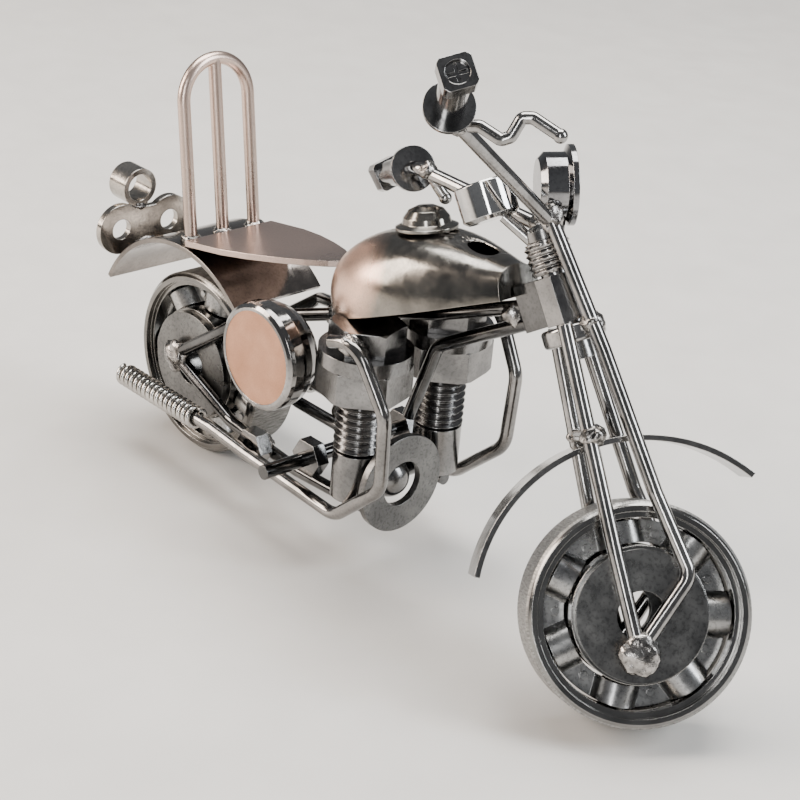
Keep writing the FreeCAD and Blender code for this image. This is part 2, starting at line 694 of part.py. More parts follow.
def back_rest():
    """A hoop of wire with a middle rod, standing on the rear fender and leaning back."""
    half = SIZES["rest_half_width"]
    straight = SIZES["rest_height"] - half
    lean = frame(-0.2, 0, SIZES["rest_base_z"], (0, 1, 0), -SIZES["rest_lean"])
    foot = -1.2
    legs = [Part.LineSegment(Vector(0, -half, foot), Vector(0, -half, straight)).toShape(),
            Part.Arc(Vector(0, -half, straight), Vector(0, 0, straight + half),
                     Vector(0, half, straight)).toShape(),
            Part.LineSegment(Vector(0, half, straight), Vector(0, half, foot)).toShape()]
    circle = Part.Wire(Part.makeCircle(SIZES["wire_radius"], Vector(0, -half, foot), Vector(0, 0, 1)))
    hoop = Part.Wire(legs).makePipeShell([circle], True, False)
    hoop.Placement = lean
    rod = straight_wire((0, 0, foot), (0, 0, straight + half))
    rod.Placement = lean
    hoop = coped(hoop, solid_of("rear_fender"), solid_of("seat_plate"))
    rod = coped(rod, hoop, solid_of("rear_fender"), solid_of("seat_plate"))
    shaped("back_rest", Part.makeCompound([hoop, rod]))


def tail():
    """A chain side plate as number plate, and a short tube on it as tail lamp."""
    half_pitch = sizes.plate_pitch / 2.0
    lobes = [cylinder(sizes.plate_lobe_radius, sizes.plate_sheet, along("x", 0.0, (sign * half_pitch.value, 0)))
             for sign in (-1, 1)]
    waist = box(sizes.plate_sheet, sizes.plate_pitch, sizes.plate_lobe_radius * 1.5,
                frame(y=-half_pitch.value, z=-0.75 * SIZES["plate_lobe_radius"]))
    holes = [cylinder(sizes.plate_hole_radius, sizes.plate_sheet, along("x", 0.0, (sign * half_pitch.value, 0)))
             for sign in (-1, 1)]
    fender_zone = cylinder(sizes.fender_radius, sizes.rear_fender_width, along("y", -sizes.rear_fender_width / 2.0))
    fender_zone.Placement = frame(-SIZES["plate_x"], -SIZES["plate_side"], SIZES["wheel_radius"] - SIZES["plate_z"]).multiply(
        fender_zone.Placement)
    side_plate = cut(fuse(*lobes, waist), *holes, fender_zone)
    node("tail_plate", side_plate, frame(SIZES["plate_x"], SIZES["plate_side"], SIZES["plate_z"]))
    lamp_z = SIZES["plate_z"] + 0.75 * SIZES["plate_lobe_radius"] + SIZES["lamp_radius"] + 0.4
    tube = cut(cylinder(sizes.lamp_radius, sizes.lamp_length, along("x", 0.0)),
               cylinder(sizes.lamp_bore, sizes.lamp_length, along("x", 0.0)))
    node("tail_lamp", tube, frame(SIZES["plate_x"] + SIZES["plate_sheet"] - SIZES["lamp_length"], SIZES["lamp_side"], lamp_z))


# ----------------------------------------------------------------------- air cleaner
def air_cleaner():
    """A turned cup beside the engine, with a flat copper-coloured disc let into its face."""
    place = Placement(Vector(SIZES["cleaner_x"], -SIZES["cleaner_face_y"], SIZES["cleaner_z"]),
                      Rotation(Vector(1, 0, 0), -90))
    radius = sizes.cleaner_radius
    depth = sizes.cleaner_depth
    turned("air_cleaner_body",
           [(0.0, 0.8), (sizes.cleaner_face_radius, 0.8), (sizes.cleaner_face_radius, 0.0),
            (radius - 0.9, 0.0), (radius - 0.2, 0.5), (radius, 1.4), (radius, depth * 0.32),
            (radius - 0.5, depth * 0.48), (radius - 1.4, depth * 0.62), (radius - 2.8, depth * 0.76),
            (radius - 4.6, depth * 0.88), (radius - 6.6, depth * 0.97), (radius - 8.4, depth), (0.0, depth)], place)
    turned("air_cleaner_face",
           [(0.0, 0.1), (sizes.cleaner_face_radius, 0.1), (sizes.cleaner_face_radius, 0.8), (0.0, 0.8)], place)


# ---------------------------------------------------------------- fork and steering
def steering_head():
    nut = cut(hexagon(sizes.head_nut_across, sizes.head_nut_height),
              cylinder(sizes.stem_radius + sizes.stem_bore_clearance, sizes.head_nut_height))
    nut.Placement = frame(z=SIZES["head_nut_bottom"])
    node("head_nut", nut, TILT)
    top = sizes.stem_top
    turned("stem_bolt",
           [(0.0, sizes.stem_bottom), (sizes.stem_radius, sizes.stem_bottom), (sizes.stem_radius, top),
            (sizes.stem_head_radius, top), (sizes.stem_head_radius, top + 1.8),
            (sizes.stem_head_radius * 0.6, top + 2.8), (0.0, top + 2.8)], FORK)


FORK_LEGS = {
    "rear": [(-2.0, 5.1, 52.1), (-5.9, 8.96, 13.0), (-7.2, 8.96, -6.6)],
    "front": [(1.2, 5.0, 71.0), (3.0, 6.5, 46.0), (3.8, 8.8, 20.0), (5.4, 8.96, 4.4), (-7.4, 8.96, -5.6)],
}


def fork_legs():
    rears, fronts = [], []
    for sign in SIDES.values():
        rear = bent_wire([(x, sign * y, z) for x, y, z in FORK_LEGS["rear"]], 20.0)
        front = bent_wire([(x, sign * y, z) for x, y, z in FORK_LEGS["front"]], 3.6)
        rears.append(rear)
        fronts.append(coped(front, rear))
    shaped("fork_rear_legs", Part.makeCompound(rears), FORK)
    shaped("fork_front_legs", Part.makeCompound(fronts), FORK)


def local_shape(label):
    """A sub-part's shape in the frame that it was modelled in."""
    shape = solid_of(label).copy()
    shape.Placement = FORK.inverse().multiply(shape.Placement)
    return shape


def fork_clamps():
    """The collars that carry the legs, above and below the fixed head nut, and the fender's bar."""
    legs = [local_shape(f"fork_{end}_legs") for end in FORK_LEGS]
    stem = local_shape("stem_bolt")
    low, high = SIZES["lower_clamp_bottom"], SIZES["lower_clamp_top"]
    boss = Part.makeCylinder(SIZES["lower_clamp_radius"], high - low, Vector(0, 0, low))
    shaped("lower_clamp", coped(boss.makeFillet(0.8, boss.Edges), stem, *legs), FORK)
    bottom = sizes.upper_clamp_bottom
    collar_top = bottom + sizes.collar_pitch * sizes.collar_turns + 0.3
    collar = turned_body("collar", threaded_outline(collar_top, bottom, sizes.upper_clamp_radius,
                                                    sizes.collar_pitch, sizes.collar_depth, sizes.collar_turns))
    doc.recompute()
    shaped("upper_clamp", coped(collar.Shape, stem, *legs), FORK)
    brace = Part.makeCylinder(SIZES["wire_radius"], 15.0, Vector(-3.6, -7.5, 32.5), Vector(0, 1, 0))
    shaped("fender_cross_bar", coped(brace, *legs), FORK)


RISERS = {
    "right": [(0.9, 4.9, 70.3), (-13.6, 24.4, 90.9), (-13.34, 41.7, 93.8)],
    "left": [(0.9, 4.9, 70.3), (-14.6, 24.4, 88.4), (-18.07, 41.4, 90.5)],
}


def handlebar():
    """Two risers welded to the legs' tops, each bent out into a grip."""
    neighbours = [local_shape(name) for name in ("upper_clamp", "stem_bolt", "fork_front_legs")]
    risers = []
    sets = {}
    for side, sign in SIDES.items():
        route = [(x, sign * y, z) for x, y, z in RISERS[side]]
        risers.append(coped(bent_wire(route, 4.0), *neighbours))
        corner, end = Vector(*route[1]), Vector(*route[2])
        grip_place = Placement(corner, Rotation(Vector(0, 0, 1), end - corner))
        for name, piece in grip_set(grip_place.multiply(frame(z=SIZES["grip_inner"]))).items():
            sets.setdefault(name, []).append(piece)
    shaped("handlebar", Part.makeCompound(risers), FORK)
    for name, pieces in sets.items():
        node(name, group(*pieces), FORK)


def sleeve(inner, outer, start, end):
    """A short tube about the local Z axis."""
    tube = cut(cylinder(outer, end - start), cylinder(inner, end - start))
    tube.Placement = frame(z=start.value if isinstance(start, Size) else start)
    return tube


def grip_set(place):
    """Flange, sleeve, square end nut and cross-head screw, threaded on the bar end."""
    length = sizes.grip_length
    bore = sizes.wire_radius
    flange = sleeve(bore, sizes.flange_radius, 0.0, sizes.flange_thickness)
    grip = sleeve(bore, sizes.grip_radius, sizes.flange_thickness, length)
    across = sizes.end_nut_across
    block = box(across, across, sizes.end_nut_width, frame(-across.value / 2.0, -across.value / 2.0))
    nut = cut(common(block, cylinder(across * 0.62, sizes.end_nut_width)),
              cylinder(sizes.screw_radius, sizes.end_nut_width))
    nut.Placement = frame(z=length.value)
    reach = SIZES["screw_reach"]
    slots = [box(3.4, 0.6, 0.5, frame(-1.7, -0.3, reach - 0.5)),
             box(0.6, 3.4, 0.5, frame(-0.3, -1.7, reach - 0.5))]
    screw = cut(cylinder(sizes.screw_radius, sizes.screw_reach), *slots)
    screw.Placement = frame(z=length.value + 1.7)
    pieces = {"grip_flanges": flange, "grips": grip, "grip_end_nuts": nut, "grip_screws": screw}
    for piece in pieces.values():
        piece.Placement = place.multiply(piece.Placement)
    return pieces


LEVERS = {
    "right": [(-11.4, 21.8, 88.5), (-9.0, 23.4, 87.5), (-6.5, 24.6, 84.2), (-4.9, 25.0, 84.2), (-2.3, 25.6, 86.6),
              (-0.6, 26.0, 86.0), (2.6, 27.0, 81.8)],
    "left": [(-12.9, 22.0, 86.4), (-12.3, 22.9, 83.9), (-11.5, 23.2, 81.4)],
}


def levers():
    pair = []
    for side, sign in SIDES.items():
        route = [(x, sign * y, z) for x, y, z in LEVERS[side]]
        lever = bent_wire(route, 1.0, SIZES["lever_radius"])
        tip = Part.makeSphere(SIZES["lever_radius"] * 1.15, Vector(*route[-1]))
        pair.append(coped(lever.fuse(tip), local_shape("handlebar")))
    shaped("hand_levers", Part.makeCompound(pair), FORK)


def gauge():
    """A small cup on a stalk behind the handlebar, square to the steering bolt."""
    radius, wall = sizes.gauge_radius, sizes.gauge_wall
    turned("gauge_cup",
           [(0.0, 0.0), (radius - 0.8, 0.0), (radius, 0.7), (radius, sizes.gauge_height - 0.3),
            (radius - 0.3, sizes.gauge_height), (radius - wall, sizes.gauge_height),
            (radius - wall, sizes.gauge_height - 0.8), (0.0, sizes.gauge_height - 0.8)],
           FORK.multiply(frame(x=SIZES["gauge_x"], z=SIZES["gauge_bottom"])))
    stalk = straight_wire((SIZES["gauge_x"] + 2.0, 0, SIZES["gauge_bottom"]), (-1.8, 0, 67.0), 1.1)
    neighbours = ("gauge_cup", "stem_bolt", "upper_clamp", "handlebar")
    shaped("gauge_stalk", coped(stalk, *[local_shape(name) for name in neighbours]), FORK)


def headlight():
    """A spool of a lamp that faces along the wheel, with a rim, a lens and a bracket."""
    facing = Placement(Vector(SIZES["lamp_x"], 0, SIZES["lamp_z"]), Rotation(Vector(0, 1, 0), 90.0 + SIZES["lamp_tilt"]))
    place = FORK.multiply(facing).multiply(frame(z=-SIZES["lamp_depth"] / 2.0))
    body, rim, depth, lip = sizes.lamp_body_radius, sizes.lamp_rim_radius, sizes.lamp_depth, sizes.lamp_rim
    turned("headlight_shell",
           [(0.0, 0.0), (body - 1.2, 0.0), (body, 1.1), (body, depth - lip - 0.6),
            (rim, depth - lip), (rim, depth), (sizes.lens_radius, depth),
            (sizes.lens_radius, depth - 1.4), (0.0, depth - 1.4)], place)
    turned("headlight_lens", [(0.0, depth - 1.4), (sizes.lens_radius, depth - 1.4),
                              (sizes.lens_radius, depth - 0.4), (0.0, depth - 0.4)], place)
    bracket = straight_wire((4.2, 0, 72.0), (1.6, 0, 66.4), 1.3)
    neighbours = ("headlight_shell", "stem_bolt", "handlebar", "fork_front_legs", "upper_clamp")
    shaped("headlight_bracket", coped(bracket, *[local_shape(name) for name in neighbours]), FORK)


# ----------------------------------------------------------------------------- model
def check_document():
    for item in doc.Objects:
        if "Invalid" in item.State or "Error" in item.State:
            raise RuntimeError(f"{item.Name} ({item.Label}) did not recompute: {item.State}")
    for label, item in nodes.items():
        if item.Shape.isNull() or not item.Shape.isValid() or not item.Shape.Solids:
            raise RuntimeError(f"{label} is not a valid solid")


def export_nodes():
    os.makedirs("parts", exist_ok=True)
    for label, item in nodes.items():
        item.Shape.exportStep(f"parts/{label}.step")


def build():
    for name in WHEELS:
        bearing_wheel(name)
    cylinder_stacks()
    steering_head()
    doc.recompute()
    crank()
    frame_rails()
    rail_nuts()
    foot_pegs()
    exhausts()
    tank()
    fenders()
    seat()
    doc.recompute()
    back_rest()
    tail()
    air_cleaner()
    fork_legs()
    fork_clamps()
    handlebar()
    levers()
    gauge()
    headlight()
    doc.recompute()
    check_document()
    export_nodes()


build()
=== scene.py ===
import json
import math

import bpy
from mathutils import Matrix, Vector, noise


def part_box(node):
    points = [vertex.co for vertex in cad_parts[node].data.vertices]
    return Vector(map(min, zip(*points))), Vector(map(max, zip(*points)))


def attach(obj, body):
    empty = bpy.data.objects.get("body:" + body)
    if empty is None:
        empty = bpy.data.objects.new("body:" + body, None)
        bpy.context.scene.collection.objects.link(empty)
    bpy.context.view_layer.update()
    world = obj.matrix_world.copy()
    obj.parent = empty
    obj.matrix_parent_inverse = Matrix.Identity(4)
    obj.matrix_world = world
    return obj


MM = 0.001
WHEEL_RADIUS = 0.02
CLOUD_SIZE = 0.009
GRAIN_SIZE = 0.0006
RIPPLE_SIZE = 0.0022
EDGE_ROUNDING = 0.0002
FLOOR_SIZE = 8.0
FLOOR_DROP = 0.0001
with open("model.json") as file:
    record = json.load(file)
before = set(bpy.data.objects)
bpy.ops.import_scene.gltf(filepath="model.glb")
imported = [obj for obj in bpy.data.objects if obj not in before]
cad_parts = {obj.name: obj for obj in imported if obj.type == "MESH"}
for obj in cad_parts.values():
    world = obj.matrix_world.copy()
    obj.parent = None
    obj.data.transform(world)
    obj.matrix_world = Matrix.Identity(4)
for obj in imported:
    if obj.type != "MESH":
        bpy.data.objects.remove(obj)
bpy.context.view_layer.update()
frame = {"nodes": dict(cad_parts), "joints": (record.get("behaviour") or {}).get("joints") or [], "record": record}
record = frame["record"]
joints = {joint["name"]: joint for joint in frame["joints"]}


# ------------------------------------------------------------------------ shader tools
class Finish:
    """A node material built round one Principled shader, in the part's own coordinates."""

    def __init__(self, name, metallic=1.0, coat=0.0):
        self.material = bpy.data.materials.new(name)
        self.material.use_nodes = True
        self.tree = self.material.node_tree
        self.shader = self.tree.nodes["Principled BSDF"]
        self.shader.inputs["Metallic"].default_value = metallic
        self.shader.inputs["Coat Weight"].default_value = coat
        self.shader.inputs["Coat Roughness"].default_value = 0.08
        self.place = self.node("ShaderNodeTexCoord").outputs["Object"]

    def node(self, kind, **settings):
        made = self.tree.nodes.new(kind)
        for name, value in settings.items():
            setattr(made, name, value)
        return made

    def link(self, output, entry):
        self.tree.links.new(output, entry)

    def feed(self, made, **entries):
        """Set inputs by name; a socket is linked and a number or colour is stored."""
        for name, value in entries.items():
            entry = made.inputs[name.replace("_", " ")]
            if isinstance(value, bpy.types.NodeSocket):
                self.link(value, entry)
            else:
                entry.default_value = value
        return made

    def turned_place(self, centre, rotation, stretch=(1, 1, 1)):
        """The part's coordinates seen from another centre and direction, in metres."""
        mapping = self.node("ShaderNodeMapping", vector_type="TEXTURE")
        self.feed(mapping, Vector=self.place, Location=centre, Rotation=rotation, Scale=stretch)
        return mapping.outputs["Vector"]

    def noise(self, size, detail=4.0, rough=0.55, place=None):
        """Noise whose lumps are about size metres across."""
        made = self.node("ShaderNodeTexNoise")
        self.feed(made, Vector=place or self.place, Scale=1.0 / size, Detail=detail, Roughness=rough)
        return made.outputs["Fac"]

    def ramp(self, factor, *stops):
        made = self.node("ShaderNodeValToRGB")
        elements = made.color_ramp.elements
        while len(elements) < len(stops):
            elements.new(0.5)
        for element, (position, value) in zip(elements, stops):
            element.position = position
            colour = (value,) * 3 if isinstance(value, float) else value
            element.color = (*colour, 1.0)
        self.link(factor, made.inputs["Fac"])
        return made.outputs["Color"]

    def math(self, operation, first, second=0.0):
        made = self.node("ShaderNodeMath", operation=operation)
        for entry, value in zip(made.inputs, (first, second)):
            if isinstance(value, bpy.types.NodeSocket):
                self.link(value, entry)
            else:
                entry.default_value = value
        return made.outputs["Value"]

    def mix(self, factor, first, second, blend="MIX"):
        made = self.node("ShaderNodeMix", data_type="RGBA", blend_type=blend)
        for index, value in ((0, factor), (6, first), (7, second)):
            if isinstance(value, bpy.types.NodeSocket):
                self.link(value, made.inputs[index])
            elif index == 0:
                made.inputs[0].default_value = value
            else:
                made.inputs[index].default_value = (*value, 1.0)
        return made.outputs[2]

    def bump(self, height, depth, under=None):
        """Relief of the given depth in metres, on top of another relief if there is one."""
        made = self.node("ShaderNodeBump")
        self.feed(made, Height=height, Distance=depth, Strength=1.0)
        if under is not None:
            self.link(under, made.inputs["Normal"])
        return made.outputs["Normal"]

    def soft_edges(self, radius):
        made = self.node("ShaderNodeBevel", samples=6)
        made.inputs["Radius"].default_value = radius
        return made.outputs["Normal"]

    def worn_edges(self, radius, spread=0.12):
        """1 on the sharp outer edges and 0 elsewhere."""
        bevel = self.soft_edges(radius)
        surface = self.node("ShaderNodeNewGeometry").outputs["Normal"]
        product = self.node("ShaderNodeVectorMath", operation="DOT_PRODUCT")
        self.link(bevel, product.inputs[0])
        self.link(surface, product.inputs[1])
        return self.ramp(product.outputs["Value"], (1.0 - spread, 1.0), (1.0 - spread * 0.15, 0.0))

    def finish(self, colour, roughness, normal):
        self.feed(self.shader, Base_Color=colour, Roughness=roughness, Normal=normal)
        return self.material


# ------------------------------------------------------------------------- materials
def plated(name, dark, light, gloss=(0.12, 0.26), peel=0.00002, speck=0.2, wear=0.25):
    """Glossy black-nickel plate over metal: cloudy tone, fine specks, orange peel, paler edges."""
    look = Finish(name)
    clouds = look.noise(CLOUD_SIZE, 3.0)
    grain = look.noise(GRAIN_SIZE, 2.0, 0.6)
    tone = look.ramp(clouds, (0.34, dark), (0.68, light))
    specks = look.ramp(grain, (0.36, 1.0 - speck), (0.5, 1.0))
    colour = look.mix(1.0, tone, specks, "MULTIPLY")
    edge_colour = tuple(min(1.0, value * 1.7) for value in light)
    edges = look.math("MULTIPLY", look.worn_edges(0.00025), wear)
    colour = look.mix(edges, colour, edge_colour)
    rough = look.ramp(look.noise(0.003, 4.0), (0.3, gloss[0]), (0.75, gloss[1]))
    normal = look.soft_edges(EDGE_ROUNDING)
    normal = look.bump(look.noise(RIPPLE_SIZE, 2.0), peel, normal)
    return look.finish(colour, rough, normal)


def wheel_place(look, centre, axis):
    """Coordinates about a wheel's axle: the axle along local Z."""
    turn = Vector(axis).to_track_quat("Z", "Y").to_euler()
    return look.turned_place(centre, turn)


def tyre_ring(name, joint, light):
    """Bearing ring: its tread is coarsely ground across, its faces are smooth and bright."""
    look = Finish(name)
    place = wheel_place(look, joints[joint]["pos_m"], joints[joint]["axis"])
    split = look.node("ShaderNodeSeparateXYZ")
    look.link(place, split.inputs[0])
    angle = look.math("ARCTAN2", split.outputs["Y"], split.outputs["X"])
    around = look.node("ShaderNodeCombineXYZ")
    look.feed(around, X=look.math("MULTIPLY", angle, WHEEL_RADIUS),
              Y=look.math("MULTIPLY", split.outputs["Z"], 0.12))
    scratches = look.noise(0.00035, 6.0, 0.75, around.outputs[0])
    across = look.math("POWER", look.math("ADD", look.math("POWER", split.outputs["X"], 2.0),
                                          look.math("POWER", split.outputs["Y"], 2.0)), 0.5)
    tread = look.ramp(look.math("DIVIDE", across, WHEEL_RADIUS), (0.972, 0.0), (0.99, 1.0))
    clouds = look.noise(0.006, 4.0)
    face = look.ramp(clouds, (0.3, tuple(value * 0.55 for value in light)), (0.7, light))
    ground = look.ramp(scratches, (0.36, tuple(value * 0.45 for value in light)),
                       (0.64, tuple(value * 1.5 for value in light)))
    colour = look.mix(tread, face, ground)
    grain = look.noise(0.0005, 2.0)
    edges = look.math("MULTIPLY", look.worn_edges(0.0003), 0.35)
    colour = look.mix(edges, colour, (0.62, 0.61, 0.59))
    rough = look.mix(tread, look.ramp(grain, (0.3, 0.12), (0.7, 0.2)),
                     look.ramp(scratches, (0.3, 0.55), (0.7, 0.3)))
    normal = look.bump(grain, 0.000004, look.soft_edges(0.00025))
    relief = look.math("MULTIPLY", scratches, tread)
    normal = look.bump(relief, 0.00007, normal)
    return look.finish(colour, rough, normal)


def copper_disc():
    """Satin copper paint with a fine sparkle."""
    look = Finish("copper_disc", metallic=0.85)
    flake = look.noise(0.0003, 2.0, 0.8)
    clouds = look.noise(0.006, 3.0)
    colour = look.ramp(clouds, (0.3, (0.46, 0.235, 0.14)), (0.7, (0.60, 0.33, 0.215)))
    colour = look.mix(1.0, colour, look.ramp(flake, (0.35, 0.82), (0.6, 1.0)), "MULTIPLY")
    rough = look.ramp(flake, (0.3, 0.34), (0.7, 0.5))
    return look.finish(colour, rough, look.bump(flake, 0.00001))


def plate_with_copper_and_reflection(name, copper_and_reflection_tint, centre, radius, dark, light, softness=0.35, gloss=(0.12, 0.28)):
    """Dark plate with a soft coloured spot about a point of the part: a painted reflection of warm light on the
    tank, a pale copper tint on the seat and back rest.
    """
    look = Finish(name)
    clouds = look.noise(0.008, 3.0)
    grain = look.noise(0.0004, 2.0, 0.7)
    tone = look.ramp(clouds, (0.34, dark), (0.68, light))
    distance = look.node("ShaderNodeVectorMath", operation="DISTANCE")
    look.link(look.place, distance.inputs[0])
    distance.inputs[1].default_value = centre
    reach = look.math("DIVIDE", distance.outputs["Value"], radius)
    reach = look.math("ADD", reach, look.math("MULTIPLY", look.noise(0.004, 3.0), 0.25))
    copper_and_reflection_mask = look.ramp(look.math("MULTIPLY", reach, 0.5),
                      (0.56 - softness * 0.5, 1.0), (0.56 + softness * 0.5, 0.0))
    # Painted colour: on the tank this spot is a painted reflection of a warm light, on the seat and back rest a
    # copper tint.
    colour = look.mix(copper_and_reflection_mask, tone, copper_and_reflection_tint)
    colour = look.mix(1.0, colour, look.ramp(grain, (0.34, 0.86), (0.5, 1.0)), "MULTIPLY")
    edges = look.math("MULTIPLY", look.worn_edges(0.0003), 0.35)
    colour = look.mix(edges, colour, (0.72, 0.66, 0.6))
    smooth = look.ramp(look.noise(0.003, 4.0), (0.3, gloss[0]), (0.75, gloss[1]))
    rough = look.mix(copper_and_reflection_mask, smooth, (0.3, 0.3, 0.3))
    normal = look.bump(look.noise(0.0025, 2.0), 0.00003, look.soft_edges(EDGE_ROUNDING))
    return look.finish(colour, rough, normal)


def lens_glass():
    """Dark smoked glass with fluting behind it."""
    look = Finish("lens_glass", metallic=0.0, coat=1.0)
    flutes = look.node("ShaderNodeTexWave", wave_type="BANDS", bands_direction="Z")
    look.feed(flutes, Vector=look.place, Scale=400.0, Distortion=0.4)
    colour = look.ramp(flutes.outputs["Fac"], (0.2, (0.012, 0.014, 0.018)), (0.9, (0.05, 0.055, 0.065)))
    rough = look.ramp(look.noise(0.002), (0.3, 0.04), (0.7, 0.09))
    return look.finish(colour, rough, look.bump(flutes.outputs["Fac"], 0.00002))


def weld_metal():
    """Bright lumpy solder with dark flux in its hollows."""
    look = Finish("weld_metal")
    lumps = look.noise(0.0012, 4.0, 0.6)
    tone = look.ramp(look.noise(0.0025, 4.0), (0.35, (0.10, 0.095, 0.09)), (0.62, (0.46, 0.44, 0.42)))
    colour = look.mix(1.0, tone, look.ramp(lumps, (0.32, 0.35), (0.52, 1.0)), "MULTIPLY")
    rough = look.ramp(lumps, (0.3, 0.32), (0.7, 0.14))
    normal = look.bump(lumps, 0.00018)
    return look.finish(colour, rough, normal)


def slot_materials():
    """One finish for each material slot of the record."""
    tank_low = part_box("tank_shell")[0]
    # Centre of the painted reflection of warm light, near the tank's low rear right corner.
    tank_reflection_centre = (tank_low.x + 0.011, tank_low.y + 0.003, tank_low.z + 0.0125)
    seat_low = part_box("seat_plate")[0]
    rest_low, rest_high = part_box("back_rest")
    return {
        "bearing_ring": None,
        "bearing_ball": plated("ball_steel", (0.50, 0.50, 0.50), (0.70, 0.70, 0.69),
                               (0.04, 0.1), 0.000004, 0.1),
        "cage_steel": plated("cage_steel", (0.26, 0.26, 0.26), (0.44, 0.44, 0.43),
                             (0.22, 0.36), 0.00002, 0.3),
        "washer_steel": plated("washer_steel", (0.11, 0.11, 0.11), (0.20, 0.20, 0.195),
                               (0.24, 0.4), 0.00002, 0.3),
        "frame_wire": plated("frame_wire", (0.07, 0.07, 0.07), (0.15, 0.15, 0.15), (0.08, 0.2)),
        "exhaust_wire": plated("exhaust_wire", (0.16, 0.155, 0.15), (0.32, 0.31, 0.30), (0.1, 0.22)),
        "spring_steel": plated("spring_steel", (0.42, 0.41, 0.39), (0.66, 0.64, 0.61), (0.14, 0.26)),
        "bolt_steel": plated("bolt_steel", (0.13, 0.13, 0.13), (0.28, 0.275, 0.27), (0.14, 0.28), 0.00003),
        "fork_wire": plated("fork_wire", (0.22, 0.215, 0.21), (0.42, 0.41, 0.40), (0.08, 0.2)),
        "grip_steel": plated("grip_steel", (0.16, 0.16, 0.16), (0.34, 0.335, 0.33), (0.08, 0.2)),
        # The tank's peach spot is a painted reflection of a warm light, not a finish.
        "tank_shell": plate_with_copper_and_reflection("tank_shell", (0.80, 0.55, 0.43), tank_reflection_centre, 0.0085,
                              (0.13, 0.125, 0.115), (0.28, 0.265, 0.24), 0.3),
        "sheet_dark": plated("sheet_dark", (0.15, 0.135, 0.125), (0.28, 0.255, 0.235), (0.1, 0.22)),
        "sheet_fork": plated("sheet_fork", (0.20, 0.195, 0.19), (0.40, 0.39, 0.38), (0.1, 0.22)),
        "seat_copper": plate_with_copper_and_reflection("seat_plate", (0.56, 0.43, 0.38),
                               (seat_low.x + 0.012, 0.0, seat_low.z), 0.034,
                               (0.18, 0.165, 0.155), (0.36, 0.33, 0.31), 0.6, (0.14, 0.28)),
        "back_rest": plate_with_copper_and_reflection("back_rest", (0.62, 0.48, 0.41), (rest_low.x, 0.0, rest_high.z - 0.006),
                             0.034, (0.18, 0.16, 0.145), (0.38, 0.34, 0.31), 0.7),
        "tail_steel": plated("tail_steel", (0.34, 0.315, 0.285), (0.54, 0.51, 0.47), (0.12, 0.26)),
        "cleaner_body": plated("cleaner_body", (0.20, 0.195, 0.19), (0.40, 0.39, 0.38), (0.06, 0.16)),
        "copper_face": copper_disc(),
        "gauge_chrome": plated("gauge_chrome", (0.42, 0.42, 0.42), (0.60, 0.60, 0.59),
                               (0.04, 0.1), 0.00001, 0.1),
        "headlight_steel": plated("headlight_steel", (0.16, 0.16, 0.165), (0.32, 0.32, 0.325), (0.06, 0.16)),
        "headlight_lens": lens_glass(),
    }


def paint_nodes():
    rings = {"rear": tyre_ring("rear_ring", "rear_wheel_spin", (0.22, 0.215, 0.205)),
             "front": tyre_ring("front_ring", "front_wheel_spin", (0.30, 0.295, 0.285))}
    finishes = slot_materials()
    for part in record["subparts"]:
        node = frame["nodes"][part["node"]]
        material = finishes[part["material_slot"]] or rings[part["node"].split("_")[0]]
        node.data.materials.clear()
        node.data.materials.append(material)
        for face in node.data.polygons:
            face.material_index = 0
    return finishes


# ------------------------------------------------------------------------ extra pieces
def fork_matrix():
    """The turned fork's own frame: Z up the steering bolt, Y along the front axle."""
    upward = Vector(joints["steering"]["axis"]).normalized()
    sideways = Vector(joints["front_wheel_spin"]["axis"]).normalized()
    forward = sideways.cross(upward)
    turn = Matrix((forward, sideways, upward)).transposed().to_4x4()
    return Matrix.Translation(joints["steering"]["pos_m"]) @ turn


PLACES = {"frame": Matrix.Identity(4), "fork": fork_matrix()}


def add_mesh(name, points, faces, material, body):
    mesh = bpy.data.meshes.new(name)
    mesh.from_pydata(points, [], faces)
    mesh.update()
    mesh.polygons.foreach_set("use_smooth", [True] * len(mesh.polygons))
    mesh.materials.append(material)
    piece = bpy.data.objects.new(name, mesh)
    bpy.context.scene.collection.objects.link(piece)
    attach(piece, body)
    return piece


def lump(centre, radii, seed, place, rings=22, spokes=32):
    """Points and faces of a lumpy drop of solder, about a centre in millimetres."""
    points = []
    for ring in range(rings + 1):
        tilt = math.pi * ring / rings
        for spoke in range(spokes):
            turn = 2.0 * math.pi * spoke / spokes
            ray = Vector((math.sin(tilt) * math.cos(turn), math.sin(tilt) * math.sin(turn), math.cos(tilt)))
            swell = 1.0 + 0.28 * noise.noise(ray * 1.7 + Vector((seed, 0, 0)))
            swell += 0.10 * noise.noise(ray * 4.5 + Vector((0, seed, 0)))
            point = Vector(centre) + Vector(ray[axis] * radii[axis] * swell for axis in range(3))
            points.append(place @ (point * MM))
    faces = []
    for ring in range(rings):
        for spoke in range(spokes):
            after = (spoke + 1) % spokes
            faces.append((ring * spokes + spoke, (ring + 1) * spokes + spoke,
                          (ring + 1) * spokes + after, ring * spokes + after))
    return points, faces


